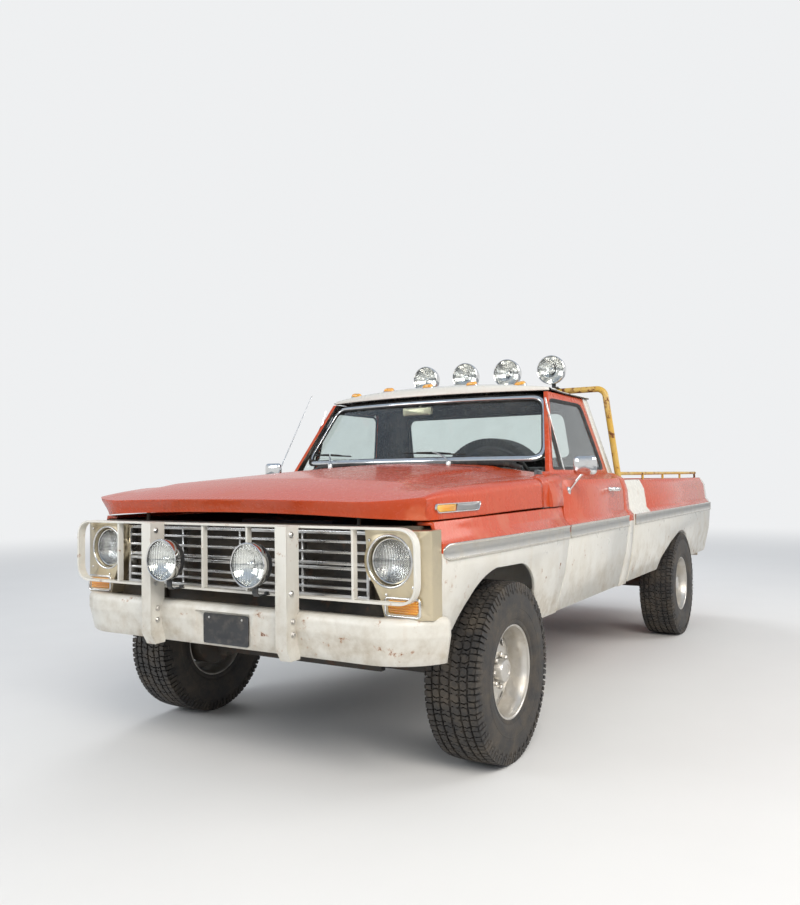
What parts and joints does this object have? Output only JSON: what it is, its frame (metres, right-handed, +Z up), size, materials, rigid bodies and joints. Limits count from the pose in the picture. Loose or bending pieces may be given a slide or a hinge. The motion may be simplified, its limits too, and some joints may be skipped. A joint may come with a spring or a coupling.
{
  "type": "pickup truck",
  "caption": "Full-size two-door pickup truck with a single cab, long load bed, front guard, cargo rack and driving lamps; hood, doors, tailgate, steering and wheels move.",
  "frame": {"origin": "on the ground, under the middle of the truck's overall length and width", "axes": "+Z up, the truck faces -Y, +X to its left"},
  "size_m": [2.22, 5.453, 2.0519],
  "materials": {
    "orange_paint": "gloss paint, aged",
    "white_paint": "gloss paint, aged",
    "yellow_paint": "worn paint",
    "black_frame": "satin chassis paint",
    "cast_parts": "rough",
    "chrome_parts": "polished",
    "polished_rim": "polished",
    "grille_metal": "brushed and dark",
    "tyre_rubber": "matt",
    "clear_glass": "clear",
    "amber_lens": "clear amber",
    "black_plastic": "grained",
    "seat_cover": "black vinyl",
    "steel_pipe": "dull"
  },
  "bodies": {
    "chassis": {"frame": "black_frame", "engine_block": "cast_parts", "driveline": "cast_parts", "exhaust": "steel_pipe", "front_axle": "cast_parts", "rear_axle": "cast_parts", "cab_shell": "orange_paint", "cab_roof": "white_paint", "cab_glass": "clear_glass", "dashboard": "black_plastic", "bench_seat": "seat_cover", "fender_left": "orange_paint", "fender_right": "orange_paint", "inner_front": "black_frame", "grille": "grille_metal", "lamp_bezels": "white_paint", "round_lamps": "chrome_parts", "signal_lamps": "amber_lens", "front_bumper": "white_paint", "grille_guard": "white_paint", "bed_sides": "white_paint", "bed_floor": "orange_paint", "rear_bumper": "white_paint", "cargo_rack": "yellow_paint", "spare_wheel": "tyre_rubber", "side_mouldings": "chrome_parts"},
    "hood": {"hood": "orange_paint"},
    "door_left": {"door_left": "orange_paint", "door_glass_left": "clear_glass", "door_trim_left": "chrome_parts"},
    "door_right": {"door_right": "orange_paint", "door_glass_right": "clear_glass", "door_trim_right": "chrome_parts"},
    "tailgate": {"tailgate": "orange_paint"},
    "knuckle_left": {"knuckle_left": "cast_parts"},
    "knuckle_right": {"knuckle_right": "cast_parts"},
    "steering_wheel": {"steering_wheel": "black_plastic"},
    "wheel_front_left": {"tyre_front_left": "tyre_rubber", "rim_front_left": "polished_rim"},
    "wheel_front_right": {"tyre_front_right": "tyre_rubber", "rim_front_right": "polished_rim"},
    "wheel_rear_left": {"tyre_rear_left": "tyre_rubber", "rim_rear_left": "polished_rim"},
    "wheel_rear_right": {"tyre_rear_right": "tyre_rubber", "rim_rear_right": "polished_rim"}
  },
  "joints": [
    {"name": "hood_hinge", "type": "hinge", "parent": "chassis", "child": "hood", "pos_m": [0, -1.1185, 1.35], "axis": [-1, 0, 0], "range_deg": [0, 50]},
    {"name": "door_left_hinge", "type": "hinge", "parent": "chassis", "child": "door_left", "pos_m": [0.998, -1.1045, 0.95], "axis": [0, 0, -1], "range_deg": [0, 65]},
    {"name": "door_right_hinge", "type": "hinge", "parent": "chassis", "child": "door_right", "pos_m": [-0.998, -1.1045, 0.95], "axis": [0, 0, 1], "range_deg": [0, 65]},
    {"name": "tailgate_hinge", "type": "hinge", "parent": "chassis", "child": "tailgate", "pos_m": [0, 2.5915, 0.76], "axis": [-1, 0, 0], "range_deg": [0, 90]},
    {"name": "steer_left", "type": "hinge", "parent": "chassis", "child": "knuckle_left", "pos_m": [0.72, -1.8335, 0.393], "axis": [0, 0, 1], "range_deg": [-28, 28]},
    {"name": "steer_right", "type": "hinge", "parent": "chassis", "child": "knuckle_right", "pos_m": [-0.72, -1.8335, 0.393], "axis": [0, 0, 1], "range_deg": [-28, 28]},
    {"name": "steering_wheel_turn", "type": "hinge", "parent": "chassis", "child": "steering_wheel", "pos_m": [0.4, -0.6685, 1.238], "axis": [0, 0.848, 0.5299], "range_deg": [-510, 510]},
    {"name": "wheel_front_left_spin", "type": "hinge", "parent": "knuckle_left", "child": "wheel_front_left", "pos_m": [0.87, -1.8335, 0.393], "axis": [1, 0, 0], "continuous": true},
    {"name": "wheel_front_right_spin", "type": "hinge", "parent": "knuckle_right", "child": "wheel_front_right", "pos_m": [-0.87, -1.8335, 0.393], "axis": [1, 0, 0], "continuous": true},
    {"name": "wheel_rear_left_spin", "type": "hinge", "parent": "chassis", "child": "wheel_rear_left", "pos_m": [0.87, 1.4935, 0.393], "axis": [1, 0, 0], "continuous": true},
    {"name": "wheel_rear_right_spin", "type": "hinge", "parent": "chassis", "child": "wheel_rear_right", "pos_m": [-0.87, 1.4935, 0.393], "axis": [1, 0, 0], "continuous": true}
  ],
  "couplings": [
    {"joint": "steer_right", "follows": "steer_left", "ratio": 1},
    {"joint": "steering_wheel_turn", "follows": "steer_left", "ratio": 18}
  ]
}
